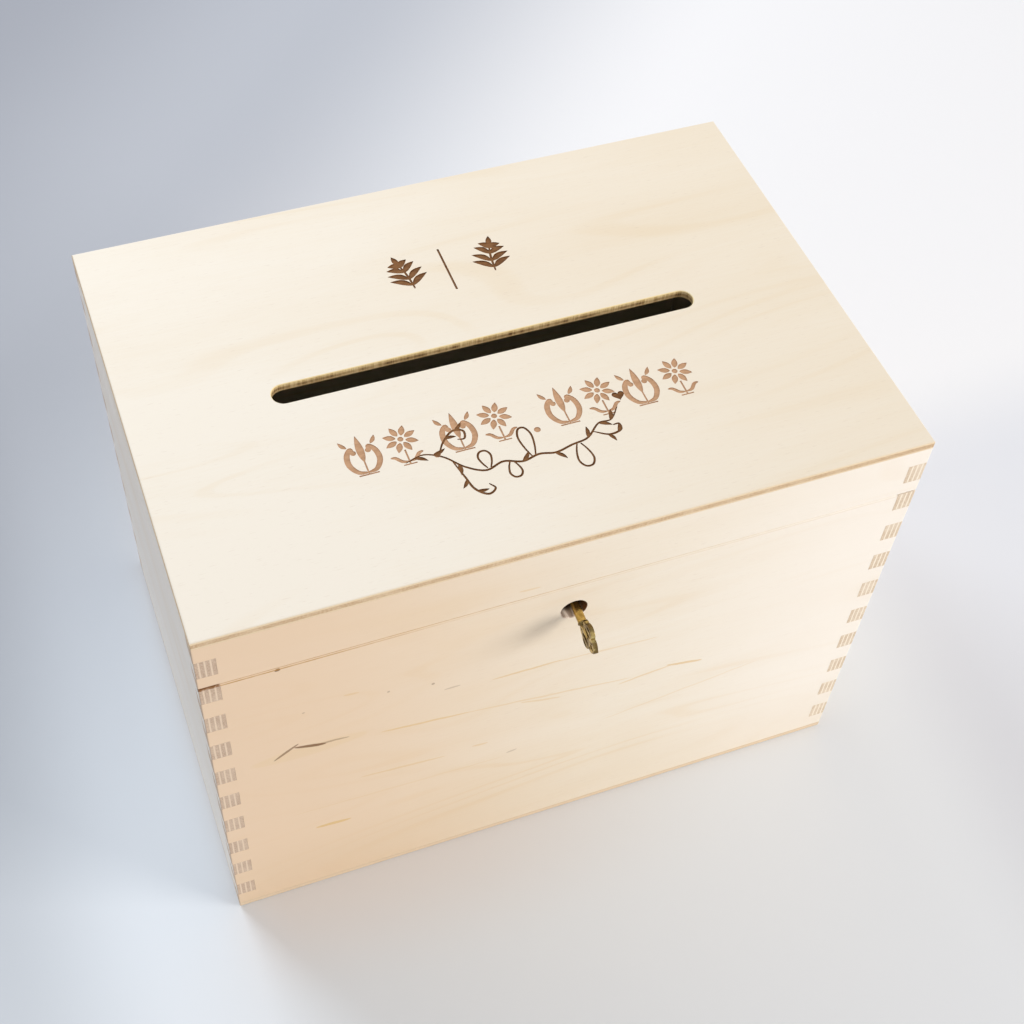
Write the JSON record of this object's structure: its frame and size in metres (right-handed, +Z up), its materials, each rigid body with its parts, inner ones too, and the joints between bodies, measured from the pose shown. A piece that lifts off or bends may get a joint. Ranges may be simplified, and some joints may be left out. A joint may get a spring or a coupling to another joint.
{
  "type": "wedding card box",
  "caption": "Finger-jointed plywood card box with a slotted hinged lid, a round keyhole, a small box lock and its key.",
  "frame": {"origin": "centre of the box's underside, where it rests on a table", "axes": "+X to the right along the card slot, +Y to the hinged back, +Z up through the lid; the key points along -Y"},
  "size_m": [0.29, 0.2196, 0.2133],
  "materials": {
    "birch_plywood": "sanded bare birch veneer",
    "brass": "bright drawn brass",
    "antique_brass": "darkened antique brass plate",
    "zinc_steel": "zinc plate"
  },
  "bodies": {
    "base": {"front_panel": "birch_plywood", "back_panel": "birch_plywood", "left_panel": "birch_plywood", "right_panel": "birch_plywood", "bottom_panel": "birch_plywood", "lock_plate": "antique_brass", "lock_cover": "antique_brass", "lock_drill_pin": "zinc_steel", "bolt_guide_stud": "zinc_steel", "bolt_spring": "zinc_steel", "lock_screw_1": "zinc_steel", "lock_screw_2": "zinc_steel", "lock_screw_3": "zinc_steel", "lock_screw_4": "zinc_steel", "hinge_left_base_leaf": "brass", "hinge_left_pin": "brass", "hinge_left_base_screw_1": "brass", "hinge_left_base_screw_2": "brass", "hinge_right_base_leaf": "brass", "hinge_right_pin": "brass", "hinge_right_base_screw_1": "brass", "hinge_right_base_screw_2": "brass"},
    "lid": {"lid_top_panel": "birch_plywood", "lid_front_rail": "birch_plywood", "lid_back_rail": "birch_plywood", "lid_left_rail": "birch_plywood", "lid_right_rail": "birch_plywood", "hinge_left_lid_leaf": "brass", "hinge_left_lid_screw_1": "brass", "hinge_left_lid_screw_2": "brass", "hinge_right_lid_leaf": "brass", "hinge_right_lid_screw_1": "brass", "hinge_right_lid_screw_2": "brass", "strike_plate": "antique_brass", "strike_screw_1": "zinc_steel", "strike_screw_2": "zinc_steel"},
    "key": {"key": "antique_brass"},
    "bolt": {"lock_bolt": "zinc_steel"}
  },
  "joints": [
    {"name": "lid_hinge", "type": "hinge", "parent": "base", "child": "lid", "pos_m": [0, 0.0978, 0.18405], "axis": [-1, 0, 0], "range_deg": [0, 100]},
    {"name": "key_turn", "type": "hinge", "parent": "base", "child": "key", "pos_m": [0.0014, -0.0883, 0.1679], "axis": [0, 0.9945, 0.1045], "range_deg": [0, 90]},
    {"name": "bolt_slide", "type": "slide", "parent": "base", "child": "bolt", "axis": [1, 0, 0], "range_m": [0, 0.0042]}
  ],
  "couplings": [
    {"joint": "key_turn", "follows": "bolt_slide", "rad_per_m": 373.9}
  ]
}
